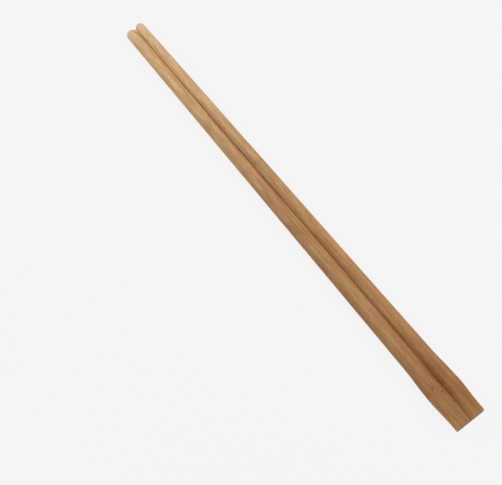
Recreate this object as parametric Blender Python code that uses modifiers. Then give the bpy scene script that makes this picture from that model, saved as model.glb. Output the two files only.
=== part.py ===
# Twin bamboo chopsticks, modelled as they are made: one strip of carbonised bamboo, rounded by
# milling into two sticks, slit apart from the tips and still joined at the flat head.
# Blender 4.5, metres, +Z up. Y runs from the head end to the tips, X across the pair.

import math

import bmesh
import bpy

# The strip
LENGTH = 0.210
THICKNESS = 0.0048

# Width across the pair at the head end, at the shoulder, where the sticks' taper starts and at the tips
HEAD_END_WIDTH = 0.01055
SHOULDER_WIDTH = 0.01165
STICK_WIDTH = 0.01086
TIP_WIDTH = 0.00920

# How far each change of width goes along the pair, in order from the head end
HEAD_STRAIGHT = 0.0016
SHOULDER_RISE = 0.0122
SHOULDER_FALL = 0.0104

# The rounding milled along the outer edges, and how it runs out at the shoulder
OUTER_ROUND_WIDTH = 0.00215
OUTER_ROUND_DROP = 0.00205
OUTER_STOP = 0.0111
OUTER_RUNOUT = 0.0042

# The groove milled along the middle of both faces, how it runs out in the head, and how it widens
GROOVE_ROUND_WIDTH = 0.00250
GROOVE_DEPTH = 0.00150
GROOVE_STOP = 0.0020
GROOVE_RUNOUT = 0.0200
GROOVE_SPREAD = 0.0300

# The slit that parts the two sticks, a little off the middle as the blade left it
SLIT_WIDTH = 0.00012
SLIT_OFFSET = 0.00038
JOINED_LENGTH = 0.0100

# The shallow score that goes on from the groove to the head end, so that the head snaps in the middle
SCORE_SIDE_WIDTH = 0.00150
SCORE_DEPTH = 0.00030
SCORE_NOTCH_DEPTH = 0.00015

# Eased edges of the head, and the domed tips
EASED_EDGE = 0.00025
END_ROUND = 0.00030
TIP_DOME_LENGTH = 0.0027

# How steep each rounding is at its crease along the flat top and where it ends
OUTER_CREASE_ANGLE = math.radians(14)
OUTER_END_ANGLE = math.radians(85)
GROOVE_CREASE_ANGLE = math.radians(14)
GROOVE_END_ANGLE = math.radians(54)

# The most of a stick's width, or of half the thickness, that its roundings may take
MOST_ROUND_SHARE = 0.9
# How blunt the tip dome is, where 2 is a plain ellipse, and the share of the section left at its flat end
DOME_BLUNTNESS = 2.6
DOME_FLAT_SHARE = 0.22

# Fineness of the mesh
ARC_STEPS = 6
END_STEPS = 4
DOME_STEPS = 8
HEAD_ROW_STEP = 0.0009
STICK_ROW_STEP = 0.0150
LEAST_STEP_SHARE = 0.25
MERGE_WITHIN = 0.000001

# Edges that turn less than this are shaded smooth
SMOOTH_BELOW = math.radians(15)

# Carbonised bamboo: caramel brown, dull satin
BAMBOO_COLOUR = (0.45, 0.25, 0.12, 1.0)
BAMBOO_ROUGHNESS = 0.55


def smooth_step(share):
    share = min(max(share, 0.0), 1.0)
    return share * share * (3 - 2 * share)


def half_width(y):
    """Half the width of the pair: swollen at the shoulder, then a straight taper to the tips."""
    crest = HEAD_STRAIGHT + SHOULDER_RISE
    taper_starts = crest + SHOULDER_FALL
    if y < crest:
        share = smooth_step((y - HEAD_STRAIGHT) / SHOULDER_RISE)
        width = HEAD_END_WIDTH + (SHOULDER_WIDTH - HEAD_END_WIDTH) * share
    elif y < taper_starts:
        share = smooth_step((y - crest) / SHOULDER_FALL)
        width = SHOULDER_WIDTH + (STICK_WIDTH - SHOULDER_WIDTH) * share
    else:
        share = (y - taper_starts) / (LENGTH - taper_starts)
        width = STICK_WIDTH + (TIP_WIDTH - STICK_WIDTH) * share
    return width / 2


def milled_share(y, stop, runout):
    """How much of its full size a milled rounding has: none at its stop, all of it one runout later."""
    share = min(max((y - stop) / runout, 0.0), 1.0)
    return 1 - (1 - share) ** 2


def rounding(width, drop, crease_angle, end_angle):
    """Points of one rounding, crease first, as distances in from its side and down from the flat top."""
    points = []
    for step in range(ARC_STEPS + 1):
        angle = crease_angle + (end_angle - crease_angle) * step / ARC_STEPS
        across = (math.sin(end_angle) - math.sin(angle)) / (math.sin(end_angle) - math.sin(crease_angle))
        down = (math.cos(crease_angle) - math.cos(angle)) / (math.cos(crease_angle) - math.cos(end_angle))
        points.append((width * across, drop * down))
    return points


def stick_section(y, side):
    """Upper half of one stick, from its outer side at mid height over the top to the slit."""
    outer = side * half_width(y)
    inner = SLIT_OFFSET + side * SLIT_WIDTH / 2
    top = THICKNESS / 2

    outer_share = milled_share(y, OUTER_STOP, OUTER_RUNOUT)
    outer_width = EASED_EDGE + (OUTER_ROUND_WIDTH - EASED_EDGE) * outer_share
    outer_drop = EASED_EDGE + (OUTER_ROUND_DROP - EASED_EDGE) * outer_share

    groove_share = milled_share(y, GROOVE_STOP, GROOVE_RUNOUT)
    groove_opening = smooth_step((y - GROOVE_STOP) / GROOVE_SPREAD)
    groove_width = SCORE_SIDE_WIDTH + (GROOVE_ROUND_WIDTH - SCORE_SIDE_WIDTH) * groove_opening
    groove_drop = SCORE_DEPTH + (GROOVE_DEPTH - SCORE_DEPTH) * groove_share

    most_width = MOST_ROUND_SHARE * abs(outer - inner)
    fit = min(1.0, most_width / (outer_width + groove_width))
    most_drop = MOST_ROUND_SHARE * top
    outer_drop = min(outer_drop, most_drop)
    groove_drop = min(groove_drop, most_drop)
    outer_arc = rounding(outer_width * fit, outer_drop, OUTER_CREASE_ANGLE, OUTER_END_ANGLE)
    groove_arc = rounding(groove_width * fit, groove_drop, GROOVE_CREASE_ANGLE, GROOVE_END_ANGLE)

    points = [(outer, 0.0)]
    points += [(outer - side * across, top - down) for across, down in reversed(outer_arc)]
    points += [(inner + side * across, top - down) for across, down in groove_arc]
    points.append((inner, 0.0))
    return points


def score_bottom(left):
    """The bottom of the score, between the two groove sides of the joined head."""
    wall_top = left[-2][1]
    return (SLIT_OFFSET, max(wall_top - SCORE_NOTCH_DEPTH, wall_top * (1 - MOST_ROUND_SHARE)))


def row_places():
    """Places along Y where the loft has a section, close together in the head, far apart after it."""
    crest = HEAD_STRAIGHT + SHOULDER_RISE
    taper_starts = crest + SHOULDER_FALL
    dome_starts = LENGTH - TIP_DOME_LENGTH
    marks = [
        END_ROUND,
        HEAD_STRAIGHT,
        crest,
        taper_starts,
        OUTER_STOP,
        OUTER_STOP + OUTER_RUNOUT,
        GROOVE_STOP,
        GROOVE_STOP + GROOVE_RUNOUT,
        JOINED_LENGTH,
        dome_starts,
    ]
    places = []
    marks = sorted(mark for mark in marks if END_ROUND <= mark <= dome_starts)
    for start, end in zip(marks, marks[1:]):
        step = HEAD_ROW_STEP if end <= taper_starts else STICK_ROW_STEP
        count = max(1, round((end - start) / step))
        places += [start + (end - start) * i / count for i in range(count)]
    places.append(dome_starts)

    # Rows that all but meet are thinned out, but the end of the slit always keeps its own row.
    kept = [END_ROUND]
    for place in places[1:]:
        if place - kept[-1] > HEAD_ROW_STEP * LEAST_STEP_SHARE:
            kept.append(place)
        elif place == JOINED_LENGTH or place == dome_starts:
            kept[-1] = place
    return kept


def shrunk(points, centre_x, share_x, share_z):
    return [(centre_x + (x - centre_x) * share_x, z * share_z) for x, z in points]


def bridge(bm, first, second):
    """Quads between two rows of vertices."""
    for a, b, c, d in zip(first, first[1:], second[1:], second):
        bm.faces.new((a, b, c, d))


def add_row(bm, points, y):
    return [bm.verts.new((x, y, z)) for x, z in points]


def head_section(y):
    """Upper half of the joined head, from the left side over the scored top to the right side."""
    left = stick_section(y, -1)
    right = stick_section(y, 1)
    return left[:-1] + [score_bottom(left)] + right[-2::-1]


def build_upper_half():
    """The pair above its mid plane: a loft from the flat head to the two round sticks, open below."""
    bm = bmesh.new()
    rows = row_places()
    per_stick = ARC_STEPS * 2 + 3

    # The head end, rounded over by sections that draw in towards the end face
    previous = None
    for step in range(END_STEPS + 1):
        angle = math.pi / 2 * step / END_STEPS
        inset = END_ROUND * (1 - math.sin(angle))
        share_x = 1 - inset / half_width(0.0)
        share_z = 1 - inset / (THICKNESS / 2)
        points = shrunk(head_section(END_ROUND), 0.0, share_x, share_z)
        row = add_row(bm, points, END_ROUND * (1 - math.cos(angle)))
        if previous is None:
            bm.faces.new(reversed(row))
        else:
            bridge(bm, previous, row)
        previous = row

    # The joined head, up to the end of the slit
    for y in rows:
        if END_ROUND < y <= JOINED_LENGTH:
            row = add_row(bm, head_section(y), y)
            bridge(bm, previous, row)
            previous = row

    # The end wall of the slit, from which the two sticks start
    left = previous[:per_stick]
    right = previous[:per_stick:-1]
    for side, row in ((-1, left), (1, right)):
        row.append(bm.verts.new((SLIT_OFFSET + side * SLIT_WIDTH / 2, JOINED_LENGTH, 0.0)))
    bm.faces.new((left[-2], previous[per_stick], right[-2], right[-1], left[-1]))

    for side, row in ((-1, left), (1, right)):
        add_stick(bm, rows, side, row)
    return bm


def add_stick(bm, rows, side, previous):
    """One stick, lofted from the end of the slit to its domed tip."""

    def join(row):
        if side < 0:
            bridge(bm, previous, row)
        else:
            bridge(bm, row, previous)

    for y in rows:
        if y > JOINED_LENGTH:
            row = add_row(bm, stick_section(y, side), y)
            join(row)
            previous = row

    dome_starts = LENGTH - TIP_DOME_LENGTH
    section = stick_section(dome_starts, side)
    centre_x = (section[0][0] + section[-1][0]) / 2
    last_angle = math.acos(DOME_FLAT_SHARE ** (DOME_BLUNTNESS / 2))
    for step in range(1, DOME_STEPS + 1):
        angle = last_angle * step / DOME_STEPS
        share = math.cos(angle) ** (2 / DOME_BLUNTNESS)
        along = (math.sin(angle) / math.sin(last_angle)) ** (2 / DOME_BLUNTNESS)
        points = shrunk(section, centre_x, share, share)
        row = add_row(bm, points, dome_starts + TIP_DOME_LENGTH * along)
        join(row)
        previous = row
    bm.faces.new(previous if side < 0 else reversed(previous))


def bamboo_material():
    material = bpy.data.materials.new("carbonised_bamboo")
    material.use_nodes = True
    shader = material.node_tree.nodes["Principled BSDF"]
    shader.inputs["Base Color"].default_value = BAMBOO_COLOUR
    shader.inputs["Roughness"].default_value = BAMBOO_ROUGHNESS
    shader.inputs["Metallic"].default_value = 0.0
    material.diffuse_color = BAMBOO_COLOUR
    return material


def main():
    for old in list(bpy.data.objects):
        bpy.data.objects.remove(old, do_unlink=True)

    parts = bpy.data.collections.new("bamboo_chopsticks")
    bpy.context.scene.collection.children.link(parts)

    mesh = bpy.data.meshes.new("twin_chopsticks")
    bm = build_upper_half()
    bm.to_mesh(mesh)
    bm.free()
    mesh.materials.append(bamboo_material())

    pair = bpy.data.objects.new("twin_chopsticks", mesh)
    pair.location = (0.0, -LENGTH / 2, THICKNESS / 2)
    parts.objects.link(pair)

    # The underside is milled like the top.
    mirror = pair.modifiers.new("underside", "MIRROR")
    mirror.use_axis = (False, False, True)
    mirror.use_mirror_merge = True
    mirror.merge_threshold = MERGE_WITHIN

    mesh.shade_smooth()
    mesh.set_sharp_from_angle(angle=SMOOTH_BELOW)


main()
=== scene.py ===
# Twin bamboo chopsticks: the looks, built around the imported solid.
# Metres. Y runs from the head end to the tips, X across the pair, Z up from the surface it lies on.
import math

import bmesh
import bpy
import numpy as np
from mathutils import Matrix, Vector, noise


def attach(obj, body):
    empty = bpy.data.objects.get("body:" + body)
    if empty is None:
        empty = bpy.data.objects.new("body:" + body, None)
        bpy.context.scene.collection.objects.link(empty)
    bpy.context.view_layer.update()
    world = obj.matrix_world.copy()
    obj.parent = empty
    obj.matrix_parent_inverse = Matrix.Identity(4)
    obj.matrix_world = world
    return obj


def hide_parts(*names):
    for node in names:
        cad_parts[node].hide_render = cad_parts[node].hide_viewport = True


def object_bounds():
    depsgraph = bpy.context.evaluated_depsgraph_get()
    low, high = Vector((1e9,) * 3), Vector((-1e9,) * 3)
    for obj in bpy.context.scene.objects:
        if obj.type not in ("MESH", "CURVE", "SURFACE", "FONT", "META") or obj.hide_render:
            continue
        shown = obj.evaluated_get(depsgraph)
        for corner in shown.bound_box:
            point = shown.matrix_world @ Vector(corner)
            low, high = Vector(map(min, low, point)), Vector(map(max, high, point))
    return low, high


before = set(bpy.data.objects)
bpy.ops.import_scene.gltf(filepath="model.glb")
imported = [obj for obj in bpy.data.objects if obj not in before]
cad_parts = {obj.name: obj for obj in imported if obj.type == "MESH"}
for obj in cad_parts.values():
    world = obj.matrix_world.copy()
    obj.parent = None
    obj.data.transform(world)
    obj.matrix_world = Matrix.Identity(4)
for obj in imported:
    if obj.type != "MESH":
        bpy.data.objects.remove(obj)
cadLow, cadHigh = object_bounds()
millimetre = 0.001
print("frame loaded")


# The pair of sticks

pair = {
    "length": cadHigh.y - cadLow.y,
    "thickness": cadHigh.z - cadLow.z,
    "headEndWidth": 0.01055,
    "shoulderWidth": 0.01165,
    "stickWidth": 0.01086,  # where the sticks' straight taper starts
    "tipWidth": 0.00920,
    "headStraight": 0.0016,
    "shoulderRise": 0.0122,
    "shoulderFall": 0.0104,
    "outerRoundWidth": 0.00215,  # the rounding milled along the outer edges
    "outerRoundDrop": 0.00205,
    "outerStop": 0.0111,  # how far from the head end the cutter stops
    "outerRunout": 0.0042,  # and over what length it runs out
    "grooveRoundWidth": 0.00250,  # the groove milled along the middle
    "grooveDepth": 0.00150,
    "grooveStop": 0.0020,
    "grooveRunout": 0.0200,
    "grooveSpread": 0.0300,  # how far it goes on widening
    "slitWidth": 0.00012,
    "slitStartWidth": 0.00004,  # it starts narrower in the head and opens as the sticks spring apart
    "slitOpening": 0.050,
    # How far the slit lies off the middle at these places along the pair, in millimetres
    "slitPlaces": (0.0, 0.005, 0.010, 0.016, 0.024, 0.034, 0.050, 0.067, 0.080, 0.095, 0.115, 0.175, 0.190),
    "slitOffsets": (0.00, 0.08, 0.18, 0.25, 0.29, 0.34, 0.40, 0.47, 0.47, 0.40, 0.33, 0.33, 0.38),
    "joinedLength": 0.0100,
    "scoreSideWidth": 0.00150,  # the shallow score from the groove to the head end
    "scoreDepth": 0.00030,
    "scoreNotchDepth": 0.00015,
    "easedEdge": 0.00025,
    "endRound": 0.00030,
    "tipDomeLength": 0.0027,
    "domeBluntness": 2.6,
    "domeFlatShare": 0.05,
    "mostRoundShare": 0.9,  # of a stick's width, for its two roundings together
    "outerAngles": (math.radians(14), math.radians(85)),  # slope at the crease and at the end of a rounding
    "grooveAngles": (math.radians(14), math.radians(54)),
    "sharpFrom": math.radians(17),

    # How finely it is divided
    "arcSteps": 12,
    "topSteps": 14,
    "sideSteps": 3,
    "wallSteps": 4,
    "endSteps": 6,
    "domeSteps": 16,
    "headRowStep": 0.0004,
    "stickRowStep": 0.0011,

    # Relief, all of it carved in, so that the pair stays inside the solid's box
    "waveDepth": 0.000040,  # slow unevenness left by planing
    "waveAcross": 0.0030,
    "waveAlong": 0.0180,
    "fibreDepth": 0.000012,  # grain that stands a little proud of the softer wood
    "fibreAcross": 0.00030,
    "fibreAlong": 0.0060,

    # Where the wood is rubbed pale, and how far the painted shade of the slit and of the groove reaches
    "wearStarts": 900.0,  # curvature of an outward edge, in 1/m
    "wearFull": 3400.0,
    "wearLeastSpan": 0.000012,  # the least distance that two faces count as being apart
    "wearClearOfSlit": 0.0006,
    "slitShadeReach": 0.0003,  # how far the painted shade along the slit reaches, on either side
    "grooveShadeReach": 0.0030,  # painted shade on the groove's sides, in and near the head
    "grooveShadeEnds": 0.034,
    "grooveShadeStarts": 0.0010,  # away from the slit
    "leastGrooveShade": 0.35,
}

halfThickness = pair["thickness"] / 2


def smoothStep(share):
    share = min(max(share, 0.0), 1.0)
    return share * share * (3 - 2 * share)


def halfWidth(y):
    crest = pair["headStraight"] + pair["shoulderRise"]
    taperStarts = crest + pair["shoulderFall"]
    if y < crest:
        share = smoothStep((y - pair["headStraight"]) / pair["shoulderRise"])
        width = pair["headEndWidth"] + (pair["shoulderWidth"] - pair["headEndWidth"]) * share
    elif y < taperStarts:
        share = smoothStep((y - crest) / pair["shoulderFall"])
        width = pair["shoulderWidth"] + (pair["stickWidth"] - pair["shoulderWidth"]) * share
    else:
        share = (y - taperStarts) / (pair["length"] - taperStarts)
        width = pair["stickWidth"] + (pair["tipWidth"] - pair["stickWidth"]) * share
    return width / 2


def slitMiddle(y):
    # The blade wandered a little to one side, most of all about a third of the way along.
    return millimetre * float(np.interp(y, pair["slitPlaces"], pair["slitOffsets"]))


def slitHalf(y):
    share = smoothStep((y - pair["joinedLength"]) / pair["slitOpening"])
    return (pair["slitStartWidth"] + (pair["slitWidth"] - pair["slitStartWidth"]) * share) / 2


def milledShare(y, stop, runout):
    share = min(max((y - stop) / runout, 0.0), 1.0)
    return 1 - (1 - share) ** 2


def rounding(width, drop, angles):
    crease, endAngle = angles
    points = []
    for step in range(pair["arcSteps"] + 1):
        angle = crease + (endAngle - crease) * step / pair["arcSteps"]
        across = (math.sin(endAngle) - math.sin(angle)) / (math.sin(endAngle) - math.sin(crease))
        down = (math.cos(crease) - math.cos(angle)) / (math.cos(crease) - math.cos(endAngle))
        points.append((width * across, drop * down))
    return points


def between(start, end, steps):
    # The points strictly between two points
    shares = [step / steps for step in range(1, steps)]
    return [(start[0] + (end[0] - start[0]) * s, start[1] + (end[1] - start[1]) * s) for s in shares]


def stickChain(y, side):
    # One stick's skin at y: from the top of the slit out over the top and down round to its underside
    outer = side * halfWidth(y)
    inner = slitMiddle(y) + side * slitHalf(y)
    outerShare = milledShare(y, pair["outerStop"], pair["outerRunout"])
    outerWidth = pair["easedEdge"] + (pair["outerRoundWidth"] - pair["easedEdge"]) * outerShare
    outerDrop = pair["easedEdge"] + (pair["outerRoundDrop"] - pair["easedEdge"]) * outerShare
    grooveShare = milledShare(y, pair["grooveStop"], pair["grooveRunout"])
    grooveOpening = smoothStep((y - pair["grooveStop"]) / pair["grooveSpread"])
    widening = pair["grooveRoundWidth"] - pair["scoreSideWidth"]
    grooveWidth = pair["scoreSideWidth"] + widening * grooveOpening
    grooveDrop = pair["scoreDepth"] + (pair["grooveDepth"] - pair["scoreDepth"]) * grooveShare
    fit = min(1.0, pair["mostRoundShare"] * abs(outer - inner) / (outerWidth + grooveWidth))

    groove = rounding(grooveWidth * fit, grooveDrop, pair["grooveAngles"])
    groove = [(inner + side * across, halfThickness - down) for across, down in reversed(groove)]
    edge = rounding(outerWidth * fit, outerDrop, pair["outerAngles"])
    edge = [(outer - side * across, halfThickness - down) for across, down in edge]
    upper = groove + between(groove[-1], edge[0], pair["topSteps"]) + edge
    upper += between(edge[-1], (outer, 0.0), pair["sideSteps"])
    lower = [(x, -z) for x, z in reversed(upper)]
    return upper + [(outer, 0.0)] + lower


def scorePoints(y):
    # The bottom of the score on the top face and on the underside
    grooveShare = milledShare(y, pair["grooveStop"], pair["grooveRunout"])
    drop = pair["scoreDepth"] + (pair["grooveDepth"] - pair["scoreDepth"]) * grooveShare
    height = halfThickness - drop - pair["scoreNotchDepth"]
    return (slitMiddle(y), height), (slitMiddle(y), -height)


def rowPlaces():
    # Where the loft has its rows: close together in the head, further apart along the sticks
    shoulderEnds = pair["headStraight"] + pair["shoulderRise"] + pair["shoulderFall"]
    domeStarts = pair["length"] - pair["tipDomeLength"]
    marks = [
        (pair["endRound"], pair["headRowStep"]),
        (pair["joinedLength"], pair["headRowStep"]),
        (shoulderEnds, pair["stickRowStep"]),
        (domeStarts, None),
    ]
    head, stick = [], []
    for (start, step), (end, _) in zip(marks, marks[1:]):
        count = round((end - start) / step)
        places = [start + (end - start) * i / count for i in range(1, count + 1)]
        if end <= pair["joinedLength"]:
            head += places
        else:
            stick += places
    return head, stick


class Skin:  # vertices and faces of one mesh, with the place of each face corner on the UV map
    def __init__(self):
        self.places, self.faces, self.corners, self.finishes = [], [], [], []

    def row(self, points, y):
        first = len(self.places)
        self.places += [(x, y, z) for x, z in points]
        return list(range(first, first + len(points)))

    def face(self, vertices, corners, finish=0):
        self.faces.append(vertices)
        self.corners += corners
        self.finishes.append(finish)

    # Quads between two rows; across gives each column's place on the map, along that of each row.
    def bridge(self, first, second, across, along, flip, finish=0):
        for i in range(len(first) - 1):
            vertices = [first[i], first[i + 1], second[i + 1], second[i]]
            corners = [(across[i], along[0]), (across[i + 1], along[0])]
            corners += [(across[i + 1], along[1]), (across[i], along[1])]
            if flip:
                vertices.reverse()
                corners.reverse()
            self.face(vertices, corners, finish)


# The UV map: each stick is cut in two lengths, laid side by side, with the end faces above them.
layout = {
    "lengths": 2,
    "stripTop": 0.93,
    "gap": 0.004,
    "capBase": 0.945,
    "capScale": 12.0,  # parts of the map for each metre of an end face
    "tipSpots": {-1: 0.4, 1: 0.6},
    "tipLift": 0.02,
    "slitSpot": 0.75,
}


def acrossPlaces(chain, wall):
    # Each column's place across its strip, from the real distances round a stick
    ring = chain + wall + [chain[0]]
    run = [0.0]
    for (x0, z0), (x1, z1) in zip(ring, ring[1:]):
        run.append(run[-1] + math.hypot(x1 - x0, z1 - z0))
    return [place / run[-1] for place in run]


def wallPoints(y, side, chain):
    inner = (slitMiddle(y) + side * slitHalf(y), chain[-1][1])
    return between(inner, (inner[0], -inner[1]), pair["wallSteps"])


def mapStrip(side, start, end):
    # Places across the strip that holds this length of a stick, and those of its two rows along it
    middle = pair["length"] / 2
    beyond = (start + end) / 2 >= middle
    strip = (0 if side < 0 else layout["lengths"]) + (1 if beyond else 0)
    stripWidth = 1 / (2 * layout["lengths"])
    left = strip * stripWidth + layout["gap"]
    sample = stickChain(middle, side)
    ring = acrossPlaces(sample, wallPoints(middle, side, sample))
    across = [left + place * (stripWidth - 2 * layout["gap"]) for place in ring]
    base = middle if beyond else 0.0
    height = layout["stripTop"] - layout["gap"]
    along = [layout["gap"] + (place - base) / middle * height for place in (start, end)]
    return across, along


def joinRows(skin, side, first, second, start, end, walls=None):
    across, along = mapStrip(side, start, end)
    columns = len(first)
    skin.bridge(first, second, across[:columns], along, side < 0)
    if walls:
        nearWall = [first[-1]] + walls[0] + [first[0]]
        farWall = [second[-1]] + walls[1] + [second[0]]
        skin.bridge(nearWall, farWall, across[columns - 1:], along, side < 0, 1)


def joinScore(skin, side, first, second, start, end):
    # The sides of the snap line, from the groove's sides down to its bottom
    across, along = mapStrip(side, start, end)
    (nearRow, nearScore), (farRow, farScore) = first, second
    lip = layout["gap"] / 2
    places = [across[0] - lip, across[0]]
    skin.bridge([nearScore[0], nearRow[0]], [farScore[0], farRow[0]], places, along, side < 0)
    last = across[len(nearRow) - 1]
    places = [last, last + lip]
    skin.bridge([nearRow[-1], nearScore[1]], [farRow[-1], farScore[1]], places, along, side < 0)


def buildHead(skin, headRows):
    # The flat head, rounded over by sections that draw in towards its end face
    sides = (-1, 1)
    end = pair["endRound"]
    chains = {side: stickChain(end, side) for side in sides}
    scores = scorePoints(end)
    sections = []
    for step in range(pair["endSteps"] + 1):
        angle = math.pi / 2 * step / pair["endSteps"]
        inset = end * (1 - math.sin(angle))
        shareX, shareZ = 1 - inset / halfWidth(0.0), 1 - inset / halfThickness
        points = {side: [(x * shareX, z * shareZ) for x, z in chains[side]] for side in sides}
        score = [(x * shareX, z * shareZ) for x, z in scores]
        sections.append((end * (1 - math.cos(angle)), points, score))
    for y in headRows:
        sections.append((y, {side: stickChain(y, side) for side in sides}, scorePoints(y)))

    previous = None
    for y, points, score in sections:
        rows = {side: skin.row(points[side], y) for side in sides}
        scoreRow = skin.row(score, y)
        if previous is None:
            addEndFace(skin, rows, scoreRow)
        else:
            start, oldRows, oldScore = previous
            for side in sides:
                joinRows(skin, side, oldRows[side], rows[side], start, y)
                joinScore(skin, side, (oldRows[side], oldScore), (rows[side], scoreRow), start, y)
        previous = (y, rows, scoreRow)
    return previous


def buildStick(skin, side, row, wall, place, stickRows):
    for y in stickRows:
        points = stickChain(y, side)
        newRow = skin.row(points, y)
        newWall = skin.row(wallPoints(y, side, points), y)
        joinRows(skin, side, row, newRow, place, y, (wall, newWall))
        row, wall, place = newRow, newWall, y

    # The domed tip
    points = stickChain(place, side)
    wallSection = wallPoints(place, side, points)
    centre = (points[0][0] + side * halfWidth(place)) / 2
    bluntness = 2 / pair["domeBluntness"]
    lastAngle = math.acos(pair["domeFlatShare"] ** (1 / bluntness))
    start = place
    for step in range(1, pair["domeSteps"] + 1):
        angle = lastAngle * step / pair["domeSteps"]
        share = math.cos(angle) ** bluntness
        y = start + pair["tipDomeLength"] * (math.sin(angle) / math.sin(lastAngle)) ** bluntness
        newRow = skin.row([(centre + (x - centre) * share, z * share) for x, z in points], y)
        newWall = skin.row([(centre + (x - centre) * share, z * share) for x, z in wallSection], y)
        joinRows(skin, side, row, newRow, place, y, (wall, newWall))
        row, wall, place = newRow, newWall, y
    ring = row + wall
    spot, scale = layout["tipSpots"][side], layout["capScale"]
    base = layout["capBase"] + layout["tipLift"]
    ends = [skin.places[v] for v in ring]
    corners = [(spot + (x - centre) * scale, base + z * scale) for x, _, z in ends]
    if side < 0:
        ring.reverse()
        corners.reverse()
    skin.face(ring, corners)


def addEndFace(skin, rows, scoreRow):
    # The head's end face, with its end grain
    ring = [scoreRow[0]] + rows[-1] + [scoreRow[1]] + rows[1][::-1]
    points = [skin.places[v] for v in ring]
    half = max(abs(x) for x, _, _ in points)
    scale = layout["capScale"]
    corners = [((x + half) * scale + layout["gap"], layout["capBase"] + (z + halfThickness) * scale)
               for x, _, z in points]
    skin.face(ring, corners, 1)


def addSlitEnd(skin, rows, scoreRow, walls):
    # The wall in which the slit ends, between the two sticks
    left = [rows[-1][0]] + walls[-1][::-1] + [rows[-1][-1]]
    right = [rows[1][0]] + walls[1][::-1] + [rows[1][-1]]
    flat = {}
    scale = layout["capScale"]
    for v in left + right + scoreRow:
        x, _, z = skin.places[v]
        flat[v] = (layout["slitSpot"] + x * scale, layout["capBase"] + (z + halfThickness) * scale)
    quads = [[left[i], right[i], right[i + 1], left[i + 1]] for i in range(len(left) - 1)]
    quads[0].insert(1, scoreRow[0])
    quads[-1].insert(3, scoreRow[1])
    for quad in quads:
        skin.face(quad, [flat[v] for v in quad], 1)


def fromSlit(place):
    # How far a point of the mesh is from the middle of the slit
    return abs(place.x - slitMiddle(place.y - cadLow.y))


def carve(place, normal):
    # A point moved in by the relief of the planed and grained surface; the slit stays as narrow as it is
    clearOfSlit = (fromSlit(place) - pair["slitWidth"] / 2) / pair["slitWidth"]
    waveScale = (pair["waveAcross"], pair["waveAlong"])
    fibreScale = (pair["fibreAcross"], pair["fibreAlong"])
    depth = 0.0
    for (across, along), most in ((waveScale, pair["waveDepth"]), (fibreScale, pair["fibreDepth"])):
        spot = Vector((place.x / across, place.y / along, place.z / across))
        depth += most * (noise.noise(spot) + 1) / 2
    return place - normal * depth * smoothStep(clearOfSlit)


def markWear(data):
    # edgeWear is 1 along tight outward edges, where handling rubs the fibres pale.
    shape = bmesh.new()
    shape.from_mesh(data)
    wear = [0.0] * len(shape.verts)
    for edge in shape.edges:
        if len(edge.link_faces) != 2 or edge.calc_face_angle_signed(0.0) <= 0:
            continue
        first, second = (face.calc_center_median() for face in edge.link_faces)
        curvature = edge.calc_face_angle_signed(0.0) / max((second - first).length, pair["wearLeastSpan"])
        share = smoothStep((curvature - pair["wearStarts"]) / (pair["wearFull"] - pair["wearStarts"]))
        for corner in edge.verts:
            if fromSlit(corner.co) > pair["wearClearOfSlit"]:
                wear[corner.index] = max(wear[corner.index], share)
    shape.free()
    data.attributes.new("edgeWear", "FLOAT", "POINT").data.foreach_set("value", wear)


def markGroove(data):
    # nearSlit, the mask of the painted shade along the slit, is highest at the slit and the snap line, and
    # fades to either side.
    # grooveShadeMask, the mask of the painted shade in the groove, is highest on the groove's two sides, in
    # and near the head.
    slit, groove = [], []
    for vertex in data.vertices:
        y = vertex.co.y - cadLow.y
        away = fromSlit(vertex.co)
        slit.append(1 - smoothStep(away / pair["slitShadeReach"]))
        inHead = 1 - smoothStep(y / pair["grooveShadeEnds"])
        least = pair["leastGrooveShade"]
        onSide = least + (1 - least) * smoothStep(away / pair["grooveShadeStarts"])
        groove.append(inHead * onSide * (1 - smoothStep(away / pair["grooveShadeReach"])))
    data.attributes.new("nearSlit", "FLOAT", "POINT").data.foreach_set("value", slit)
    data.attributes.new("grooveShadeMask", "FLOAT", "POINT").data.foreach_set("value", groove)


def makePair():
    skin = Skin()
    headRows, stickRows = rowPlaces()
    place, rows, scoreRow = buildHead(skin, headRows)
    walls = {side: skin.row(wallPoints(place, side, stickChain(place, side)), place) for side in rows}
    addSlitEnd(skin, rows, scoreRow, walls)
    for side in rows:
        buildStick(skin, side, rows[side], walls[side], place, stickRows)

    data = bpy.data.meshes.new("bambooPair")
    middle = cadLow.z + halfThickness
    data.from_pydata([(x, y + cadLow.y, z + middle) for x, y, z in skin.places], [], skin.faces)
    uvs = data.uv_layers.new(name="OFBake")
    uvs.uv.foreach_set("vector", [number for corner in skin.corners for number in corner])
    data.polygons.foreach_set("material_index", skin.finishes)
    data.validate()
    data.update()
    markWear(data)
    markGroove(data)
    carved = [carve(v.co, v.normal) for v in data.vertices]
    data.vertices.foreach_set("co", [number for place in carved for number in place])
    data.shade_smooth()
    data.set_sharp_from_angle(angle=pair["sharpFrom"])
    data.update()
    piece = bpy.data.objects.new("bambooPair", data)
    bpy.context.scene.collection.objects.link(piece)
    return piece


bambooPair = makePair()
print("pair built:", len(bambooPair.data.polygons), "faces")


# Node helpers

def feed(tree, socket, value):
    if isinstance(value, bpy.types.NodeSocket):
        tree.links.new(value, socket)
    else:
        socket.default_value = value


def calculate(tree, operation, first, second=0.0, clamp=False):
    node = tree.nodes.new("ShaderNodeMath")
    node.operation = operation
    node.use_clamp = clamp
    feed(tree, node.inputs[0], first)
    feed(tree, node.inputs[1], second)
    return node.outputs["Value"]


def remap(tree, value, source, target=(0.0, 1.0)):
    node = tree.nodes.new("ShaderNodeMapRange")
    node.interpolation_type = "SMOOTHSTEP"
    feed(tree, node.inputs["Value"], value)
    node.inputs["From Min"].default_value, node.inputs["From Max"].default_value = source
    node.inputs["To Min"].default_value, node.inputs["To Max"].default_value = target
    return node.outputs["Result"]


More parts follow.
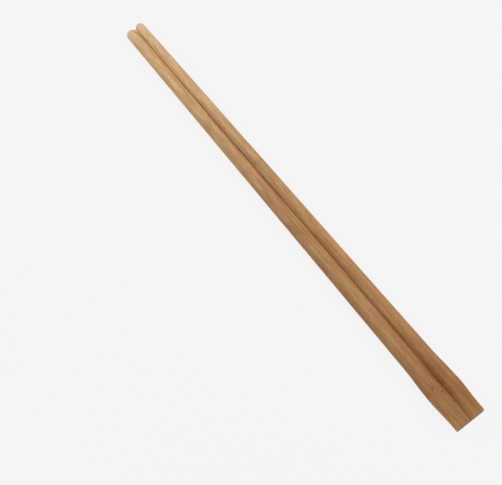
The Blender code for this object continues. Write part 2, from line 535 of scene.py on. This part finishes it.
def blend(tree, share, first, second, kind="MIX"):
    node = tree.nodes.new("ShaderNodeMix")
    node.data_type = "RGBA"
    node.blend_type = kind
    feed(tree, node.inputs["Factor"], share)
    feed(tree, node.inputs["A"], first)
    feed(tree, node.inputs["B"], second)
    return node.outputs["Result"]


def blendValue(tree, share, first, second):
    node = tree.nodes.new("ShaderNodeMix")
    node.data_type = "FLOAT"
    feed(tree, node.inputs["Factor"], share)
    feed(tree, node.inputs["A"], first)
    feed(tree, node.inputs["B"], second)
    return node.outputs["Result"]


def tint(tree, colour, tone):
    return blend(tree, 1.0, colour, tone, "MULTIPLY")


def vectorMath(tree, operation, first, second):
    node = tree.nodes.new("ShaderNodeVectorMath")
    node.operation = operation
    feed(tree, node.inputs[0], first)
    feed(tree, node.inputs["Scale" if operation == "SCALE" else 1], second)
    return node.outputs["Value" if operation == "DISTANCE" else "Vector"]


def split(tree, vector):
    node = tree.nodes.new("ShaderNodeSeparateXYZ")
    feed(tree, node.inputs["Vector"], vector)
    return node.outputs


def cloud(tree, place, look, colour=False):
    # Noise stretched along the sticks: look gives its size across and along, its detail and its place.
    mapping = tree.nodes.new("ShaderNodeMapping")
    feed(tree, mapping.inputs["Vector"], place)
    mapping.inputs["Scale"].default_value = (1 / look["across"], 1 / look["along"], 1 / look["across"])
    mapping.inputs["Location"].default_value = look["shift"]
    node = tree.nodes.new("ShaderNodeTexNoise")
    feed(tree, node.inputs["Vector"], mapping.outputs["Vector"])
    node.inputs["Scale"].default_value = 1.0
    node.inputs["Detail"].default_value = look["detail"]
    node.inputs["Roughness"].default_value = look["roughness"]
    return node.outputs["Color" if colour else "Fac"]


def newGroup(name, inputs, outputs):
    tree = bpy.data.node_groups.new(name, "ShaderNodeTree")
    for label, kind in inputs:
        tree.interface.new_socket(name=label, in_out="INPUT", socket_type=kind)
    for label, kind in outputs:
        tree.interface.new_socket(name=label, in_out="OUTPUT", socket_type=kind)
    return tree, tree.nodes.new("NodeGroupInput"), tree.nodes.new("NodeGroupOutput")


# Bamboo. Its places and sizes are in millimetres, from the middle of the pair.

noiseMiddle = 0.5

bamboo = {
    # From the head to the tips the colours grow paler: partly the wood's own colour, partly painted light
    # falling off from the tips towards the head.
    "headColour": (0.354, 0.182, 0.076, 1.0),
    "shoulderColour": (0.323, 0.155, 0.065, 1.0),
    "middleColour": (0.412, 0.226, 0.113, 1.0),
    "tipColour": (0.628, 0.420, 0.248, 1.0),
    "domeColour": (0.700, 0.510, 0.345, 1.0),
    "shoulderReach": (-105.0, -98.0),  # where the head's colour turns into the shoulder's, and so on
    "middleReach": (-98.0, -54.0),
    "tipReach": (-35.0, 95.0),
    "domeReach": (92.0, 104.0),
    "leftTone": (0.94, 0.94, 0.95, 1.0),  # the strip is a little paler towards one side
    "rightTone": (1.04, 1.04, 1.03, 1.0),
    "toneReach": (-4.0, 4.0),
    "toneStarts": (-92.0, -65.0),
    "headLeftTone": (1.0, 1.0, 1.0, 1.0),
    "headRightTone": (0.96, 0.93, 0.86, 1.0),

    # Bundles of fibres, grain and mottles
    "bundleColour": (0.230, 0.100, 0.042, 1.0),
    "bundlePitch": 0.42,
    "bundleSizes": (0.22, 0.46),  # radius as a share of the pitch
    "bundleRim": (0.55, 1.0),  # where a bundle fades out, as a share of its radius
    "bundleScatter": 0.85,
    "bundleCrowding": 0.12,  # how much closer the bundles get towards the skin side, the top
    "bundleShow": 0.32,
    "breakReach": (0.34, 0.60),  # each bundle comes and goes along its way
    "breakShow": (0.25, 1.0),
    "wander": 1.6,  # of the grain, to either side and in depth
    "clouds": {
        "drift": {"across": 50.0, "along": 36.0, "detail": 2.0, "roughness": 0.55, "shift": (0, 0, 0)},
        "breaks": {"across": 0.8, "along": 10.0, "detail": 1.0, "roughness": 0.5, "shift": (4, 0, 9)},
        "fibres": {"across": 0.11, "along": 7.0, "detail": 3.0, "roughness": 0.6, "shift": (0, 0, 0)},
        "streaks": {"across": 0.6, "along": 50.0, "detail": 2.0, "roughness": 0.6, "shift": (7, 2, 1)},
        "mottle": {"across": 1.6, "along": 8.5, "detail": 2.0, "roughness": 0.55, "shift": (1, 5, 2)},
        "warmth": {"across": 1.9, "along": 7.5, "detail": 2.5, "roughness": 0.6, "shift": (8, 3, 6)},
        "flecks": {"across": 0.30, "along": 1.1, "detail": 2.0, "roughness": 0.6, "shift": (3, 9, 4)},
        "ragged": {"across": 1.1, "along": 20.0, "detail": 3.0, "roughness": 0.6, "shift": (0, 0, 0)},
    },
    "tones": {  # over which values of a cloud its low tone turns into its high one
        "warmth": {"reach": (0.36, 0.64), "low": (1.01, 1.035, 0.88, 1.0), "high": (1.045, 0.96, 0.91, 1.0)},
        "mottle": {"reach": (0.32, 0.68), "low": (0.91, 0.88, 0.82, 1.0), "high": (1.07, 1.10, 1.14, 1.0)},
        "fibres": {"reach": (0.32, 0.68), "low": (0.86, 0.81, 0.72, 1.0), "high": (1.13, 1.17, 1.21, 1.0)},
        "streaks": {"reach": (0.34, 0.66), "low": (0.89, 0.85, 0.78, 1.0), "high": (1.08, 1.11, 1.15, 1.0)},
        "flecks": {"reach": (0.34, 0.66), "low": (0.95, 0.93, 0.89, 1.0), "high": (1.05, 1.07, 1.10, 1.0)},
    },

    # The node of the culm, a faint ragged line across both sticks
    "nodePlace": 12.0,
    "nodeReach": 0.9,
    "nodeRaggedness": 3.0,
    "nodeShow": 0.22,

    # Small dark spots near the head: across, along and size, and how dark
    "specks": (
        (-2.66, -90.9, 0.38, 1.0),
        (1.30, -91.5, 0.34, 0.7),
        (-0.90, -93.4, 0.36, 0.8),
        (1.75, -86.3, 0.36, 0.3),
        (1.35, -95.0, 1.30, 0.2),
    ),
    "speckColour": (0.155, 0.060, 0.018, 1.0),
    "speckStretch": 0.6,
    "speckCore": 1 / 3,  # the share of its size in which a speck is darkest

    # Painted light and shade: warm bounce light on sideways-facing flanks, shade in the groove and along the
    # slit
    # painted warm bounce light, on surfaces that face sideways
    "sideBounceTone": (1.03, 1.00, 0.95, 1.0),
    "flankReach": (0.15, 0.60),
    # painted shade on the groove's sides
    "grooveShade": (0.83, 0.79, 0.71, 1.0),
    # Painted shade along the slit: dark on the snap line, painted light where the slit starts to offset its
    # own shadow, dark again beyond
    "snapLineShade": (0.50, 0.42, 0.32, 1.0),  # on the snap line, where the slit starts, and beyond
    "slitStartLight": (1.13, 1.16, 1.21, 1.0),
    "slitShadeTone": (0.53, 0.41, 0.23, 1.0),
    "slitHeadReach": (-102.5, -98.5),
    "slitStartReach": (-80.0, 38.0),

    # Worn edges, end grain and the cut ends
    "wornColour": (0.520, 0.330, 0.190, 1.0),
    "wearShow": 0.35,
    "endGrainReach": (0.72, 0.97),  # it shows where the surface turns to face along the sticks
    "endGrainShow": 0.6,
    "endGrainTone": (1.06, 1.10, 1.15, 1.0),
    "endBundleShow": 0.75,
    "sawnTone": (0.95, 0.93, 0.90, 1.0),
    "sawnRoughness": (0.82, 0.66),

    # Gloss and fine relief
    "roughness": (0.62, 0.46),  # between the fibres and on them
    "roughnessReach": (0.3, 0.7),
    "refraction": 1.45,
    "sheen": 0.02,
    "specular": 0.22,
    "bumpDepth": 0.000030,
    "bumpStrength": 0.8,
    "bundleRelief": 0.3,  # the bundles' share of it, beside the fibres'
}


def makeGrainGroup():
    # Bundles run along Y, so they are streaks on the sides and dots on the ends.
    tree, given, made = newGroup(
        "bambooGrain",
        (("Place", "NodeSocketVector"), ("Bundle Pitch", "NodeSocketFloat"), ("Wander", "NodeSocketFloat")),
        (("Bundles", "NodeSocketFloat"), ("Fibres", "NodeSocketFloat"), ("Streaks", "NodeSocketFloat")),
    )
    place = given.outputs["Place"]
    pitch = given.outputs["Bundle Pitch"]

    # The grain wanders sideways and in depth as it runs along.
    clouds = bamboo["clouds"]
    drift = cloud(tree, place, clouds["drift"], colour=True)
    drift = vectorMath(tree, "SUBTRACT", drift, (noiseMiddle, noiseMiddle, noiseMiddle))
    moved = vectorMath(tree, "ADD", place, vectorMath(tree, "SCALE", drift, given.outputs["Wander"]))
    apart = split(tree, moved)

    # Bundles: cells in the cross-section, each a little different in size, crowded towards the skin side
    crowding = calculate(tree, "MULTIPLY", apart["Z"], bamboo["bundleCrowding"])
    height = calculate(tree, "MULTIPLY", apart["Z"], calculate(tree, "ADD", crowding, 1.0))
    section = tree.nodes.new("ShaderNodeCombineXYZ")
    feed(tree, section.inputs["X"], calculate(tree, "DIVIDE", apart["X"], pitch))
    feed(tree, section.inputs["Y"], calculate(tree, "DIVIDE", height, pitch))
    cells = tree.nodes.new("ShaderNodeTexVoronoi")
    cells.voronoi_dimensions = "2D"
    feed(tree, cells.inputs["Vector"], section.outputs["Vector"])
    cells.inputs["Scale"].default_value = 1.0
    cells.inputs["Randomness"].default_value = bamboo["bundleScatter"]
    chance = tree.nodes.new("ShaderNodeSeparateColor")
    feed(tree, chance.inputs["Color"], cells.outputs["Color"])
    reach = remap(tree, chance.outputs["Red"], (0.0, 1.0), bamboo["bundleSizes"])
    inside = calculate(tree, "DIVIDE", cells.outputs["Distance"], reach)
    bundle = remap(tree, inside, bamboo["bundleRim"], (1.0, 0.0))
    seen = remap(tree, cloud(tree, moved, clouds["breaks"]), bamboo["breakReach"], bamboo["breakShow"])
    feed(tree, made.inputs["Bundles"], calculate(tree, "MULTIPLY", bundle, seen))
    feed(tree, made.inputs["Fibres"], cloud(tree, moved, clouds["fibres"]))
    feed(tree, made.inputs["Streaks"], cloud(tree, moved, clouds["streaks"]))
    return tree


def makeSurfaceGroup(grainGroup):
    # Colour, fibres and relief: a long gradient that is partly painted light, grain, mottles, the node,
    # specks, painted light and shade on the flanks, groove and slit, wear and end grain
    tree, given, made = newGroup(
        "bambooSurface",
        (("Place", "NodeSocketVector"), ("Facing", "NodeSocketVector"), ("Wear", "NodeSocketFloat"),
         ("Slit", "NodeSocketFloat"), ("Groove", "NodeSocketFloat")),
        (("Colour", "NodeSocketColor"), ("Fibres", "NodeSocketFloat"), ("Relief", "NodeSocketFloat")),
    )
    clouds = bamboo["clouds"]
    place = given.outputs["Place"]
    grain = tree.nodes.new("ShaderNodeGroup")
    grain.node_tree = grainGroup
    feed(tree, grain.inputs["Place"], place)
    grain.inputs["Bundle Pitch"].default_value = bamboo["bundlePitch"]
    grain.inputs["Wander"].default_value = bamboo["wander"]
    bundles, fibres = grain.outputs["Bundles"], grain.outputs["Fibres"]
    apart = split(tree, place)
    along = apart["Y"]

    # The long gradient, paler towards the tips: partly the wood's own colour, partly painted light falling
    # off from the tips towards the head; and the tones of the strip's two sides
    colour = bamboo["headColour"]
    for name in ("shoulder", "middle", "tip", "dome"):
        reached = remap(tree, along, bamboo[name + "Reach"])
        colour = blend(tree, reached, colour, bamboo[name + "Colour"])
    across = remap(tree, apart["X"], bamboo["toneReach"])
    inHead = blend(tree, across, bamboo["headLeftTone"], bamboo["headRightTone"])
    inSticks = blend(tree, across, bamboo["leftTone"], bamboo["rightTone"])
    colour = tint(tree, colour, blend(tree, remap(tree, along, bamboo["toneStarts"]), inHead, inSticks))

    # Mottles, fibres and bundles
    masks = {name: cloud(tree, place, clouds[name]) for name in ("warmth", "mottle", "flecks")}
    masks["fibres"] = fibres
    masks["streaks"] = grain.outputs["Streaks"]
    for name, tone in bamboo["tones"].items():
        share = remap(tree, masks[name], tone["reach"])
        colour = tint(tree, colour, blend(tree, share, tone["low"], tone["high"]))
    bundled = calculate(tree, "MULTIPLY", bundles, bamboo["bundleShow"])
    colour = blend(tree, bundled, colour, bamboo["bundleColour"])

    # The node's line
    ragged = calculate(tree, "SUBTRACT", cloud(tree, place, clouds["ragged"]), noiseMiddle)
    shifted = calculate(tree, "ADD", along, calculate(tree, "MULTIPLY", ragged, bamboo["nodeRaggedness"]))
    away = calculate(tree, "ABSOLUTE", calculate(tree, "SUBTRACT", shifted, bamboo["nodePlace"]))
    line = remap(tree, away, (0.0, bamboo["nodeReach"]), (bamboo["nodeShow"], 0.0))
    colour = blend(tree, line, colour, bamboo["bundleColour"])

    # Specks, on the top face and the underside
    stretch = bamboo["speckStretch"]
    flat = vectorMath(tree, "MULTIPLY", place, (1.0, stretch, 0.0))
    for x, y, size, show in bamboo["specks"]:
        span = vectorMath(tree, "DISTANCE", flat, (x, y * stretch, 0.0))
        spot = remap(tree, span, (size * bamboo["speckCore"], size), (show, 0.0))
        colour = blend(tree, spot, colour, bamboo["speckColour"])

    # Painted light and shade: warm bounce light on sideways-facing flanks, shade in the groove and along the
    # slit; the last two stay off the end faces.
    facing = split(tree, given.outputs["Facing"])
    sideways = remap(tree, calculate(tree, "ABSOLUTE", facing["X"]), bamboo["flankReach"])
    # Painted warm bounce light, where the surface faces sideways
    colour = blend(tree, sideways, colour, tint(tree, colour, bamboo["sideBounceTone"]))
    endways = calculate(tree, "ABSOLUTE", facing["Y"])
    offEnds = remap(tree, endways, bamboo["endGrainReach"], (1.0, 0.0))
    shaded = calculate(tree, "MULTIPLY", given.outputs["Groove"], offEnds)
    colour = blend(tree, shaded, colour, tint(tree, colour, bamboo["grooveShade"]))
    # Painted shade along the slit and the snap line, with painted light where the slit starts
    slitShadeTone = blend(tree, remap(tree, along, bamboo["slitHeadReach"]),
                     bamboo["snapLineShade"], bamboo["slitStartLight"])
    slitShadeTone = blend(tree, remap(tree, along, bamboo["slitStartReach"]), slitShadeTone, bamboo["slitShadeTone"])
    slitShadeShare = calculate(tree, "MULTIPLY", given.outputs["Slit"], offEnds)
    colour = blend(tree, slitShadeShare, colour, tint(tree, colour, slitShadeTone))

    # Worn edges
    worn = calculate(tree, "MULTIPLY", given.outputs["Wear"], bamboo["wearShow"])
    colour = blend(tree, worn, colour, bamboo["wornColour"])

    # End grain shows wherever the surface turns to face along the sticks.
    endOn = remap(tree, endways, bamboo["endGrainReach"], (0.0, bamboo["endGrainShow"]))
    dotted = calculate(tree, "MULTIPLY", bundles, bamboo["endBundleShow"])
    dots = blend(tree, dotted, tint(tree, colour, bamboo["endGrainTone"]), bamboo["bundleColour"])
    hollows = calculate(tree, "SUBTRACT", 1.0, bundles)
    feed(tree, made.inputs["Colour"], blend(tree, endOn, colour, dots))
    feed(tree, made.inputs["Fibres"], fibres)
    feed(tree, made.inputs["Relief"], blendValue(tree, bamboo["bundleRelief"], fibres, hollows))
    return tree


def makeBamboo(name, surfaceGroup, roughness, tone=None):
    material = bpy.data.materials.new(name)
    material.use_nodes = True
    tree = material.node_tree
    shader = tree.nodes["Principled BSDF"]
    coordinates = tree.nodes.new("ShaderNodeTexCoord")
    surface = tree.nodes.new("ShaderNodeGroup")
    surface.node_tree = surfaceGroup
    place = vectorMath(tree, "SCALE", coordinates.outputs["Object"], 1 / millimetre)
    feed(tree, surface.inputs["Place"], place)
    feed(tree, surface.inputs["Facing"], coordinates.outputs["Normal"])
    for label, mark in (("Wear", "edgeWear"), ("Slit", "nearSlit"), ("Groove", "grooveShadeMask")):
        attribute = tree.nodes.new("ShaderNodeAttribute")
        attribute.attribute_name = mark
        feed(tree, surface.inputs[label], attribute.outputs["Fac"])
    colour = surface.outputs["Colour"]
    if tone:
        colour = tint(tree, colour, tone)
    gloss = remap(tree, surface.outputs["Fibres"], bamboo["roughnessReach"], roughness)
    feed(tree, shader.inputs["Base Color"], colour)
    feed(tree, shader.inputs["Roughness"], gloss)
    shader.inputs["Metallic"].default_value = 0.0
    shader.inputs["IOR"].default_value = bamboo["refraction"]
    shader.inputs["Sheen Weight"].default_value = bamboo["sheen"]
    shader.inputs["Specular IOR Level"].default_value = bamboo["specular"]

    bump = tree.nodes.new("ShaderNodeBump")
    bump.inputs["Distance"].default_value = bamboo["bumpDepth"]
    bump.inputs["Strength"].default_value = bamboo["bumpStrength"]
    feed(tree, bump.inputs["Height"], surface.outputs["Relief"])
    feed(tree, shader.inputs["Normal"], bump.outputs["Normal"])
    return material


surfaceGroup = makeSurfaceGroup(makeGrainGroup())
planed = makeBamboo("planedBamboo", surfaceGroup, bamboo["roughness"])
sawn = makeBamboo("sawnBamboo", surfaceGroup, bamboo["sawnRoughness"], bamboo["sawnTone"])
bambooPair.data.materials.append(planed)
bambooPair.data.materials.append(sawn)
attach(bambooPair, "root")
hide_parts("twin_chopsticks")
print("bamboo finished")


# Floor, light and camera

studio = {
    "background": 0.913,  # what the camera sees of floor and world
    "plainShare": 0.96,  # of the floor as the camera sees it; the rest is lit, and holds the shadow
    "floorColour": (0.90, 0.90, 0.90, 1.0),
    "floorSize": 3.0,
    "floorRoughness": 0.9,
    "worldStrength": 0.265,
    "lampPlace": (0.23, -0.12, 0.32),
    "lampSize": 0.30,
    "lampPower": 1.24,
    "farLampPlace": (-0.14, 0.25, 0.20),  # beyond the tips, on the other side
    "farLampSize": 0.20,
    "farLampPower": 0.38,
    "lowLampPlace": (-0.22, -0.06, 0.06),  # a weak fill low on that side
    "lowLampSize": 0.12,
    "lowLampPower": 0.07,
}

camera = {
    "place": (-0.020173, -0.119140, 0.2250),
    "forward": (0.00752, 0.43490, -0.90045),
    "upright": (0.62160, 0.70333, 0.34488),
    "lens": 48.75,
    "clip": (0.01, 10.0),
}


def seenByCamera(tree):
    # 1 for rays whose surface or background the picture shows, straight or in a reflection
    path = tree.nodes.new("ShaderNodeLightPath")
    seen = calculate(tree, "ADD", path.outputs["Is Camera Ray"], path.outputs["Is Glossy Ray"], clamp=True)
    return calculate(tree, "ADD", seen, path.outputs["Is Transmission Ray"], clamp=True)


def makeFloor():
    half = studio["floorSize"] / 2
    data = bpy.data.meshes.new("floor")
    corners = ((-1, -1), (1, -1), (1, 1), (-1, 1))
    data.from_pydata([(x * half, y * half, cadLow.z) for x, y in corners], [], [(0, 1, 2, 3)])
    material = bpy.data.materials.new("paleFloor")
    material.use_nodes = True
    tree = material.node_tree
    shader = tree.nodes["Principled BSDF"]
    shader.inputs["Base Color"].default_value = studio["floorColour"]
    shader.inputs["Roughness"].default_value = studio["floorRoughness"]
    shader.inputs["Specular IOR Level"].default_value = 0.0
    plain = tree.nodes.new("ShaderNodeEmission")
    plain.inputs["Strength"].default_value = studio["background"]
    mixed = tree.nodes.new("ShaderNodeMixShader")
    feed(tree, mixed.inputs["Fac"], calculate(tree, "MULTIPLY", seenByCamera(tree), studio["plainShare"]))
    feed(tree, mixed.inputs[1], shader.outputs["BSDF"])
    feed(tree, mixed.inputs[2], plain.outputs["Emission"])
    feed(tree, tree.nodes["Material Output"].inputs["Surface"], mixed.outputs["Shader"])
    data.materials.append(material)
    floor = bpy.data.objects.new("floor", data)
    bpy.context.scene.collection.objects.link(floor)


def makeWorld():
    world = bpy.data.worlds.new("studio")
    bpy.context.scene.world = world
    world.use_nodes = True
    tree = world.node_tree
    sky = tree.nodes["Background"]
    sky.inputs["Color"].default_value = (1.0, 1.0, 1.0, 1.0)
    strength = blendValue(tree, seenByCamera(tree), studio["worldStrength"], studio["background"])
    feed(tree, sky.inputs["Strength"], strength)


def addLamp(name, place, size, power):
    lamp = bpy.data.lights.new(name, "AREA")
    lamp.shape = "DISK"
    lamp.size = size
    lamp.energy = power
    holder = bpy.data.objects.new(name, lamp)
    holder.location = place
    holder.rotation_mode = "QUATERNION"
    holder.rotation_quaternion = (-Vector(place)).to_track_quat("-Z", "Y")
    bpy.context.scene.collection.objects.link(holder)


def addCamera():
    lens = bpy.data.cameras.new("camera")
    lens.lens = camera["lens"]
    lens.clip_start, lens.clip_end = camera["clip"]
    holder = bpy.data.objects.new("camera", lens)
    forward = Vector(camera["forward"]).normalized()
    right = forward.cross(Vector(camera["upright"])).normalized()
    upright = right.cross(forward)
    turn = Matrix((right, upright, -forward)).transposed().to_4x4()
    holder.matrix_world = Matrix.Translation(camera["place"]) @ turn
    bpy.context.scene.collection.objects.link(holder)
    bpy.context.scene.camera = holder


makeFloor()
makeWorld()
addLamp("mainLamp", studio["lampPlace"], studio["lampSize"], studio["lampPower"])
addLamp("farLamp", studio["farLampPlace"], studio["farLampSize"], studio["farLampPower"])
addLamp("lowLamp", studio["lowLampPlace"], studio["lowLampSize"], studio["lowLampPower"])
addCamera()
bpy.context.scene.view_settings.view_transform = "Standard"
print("studio ready")
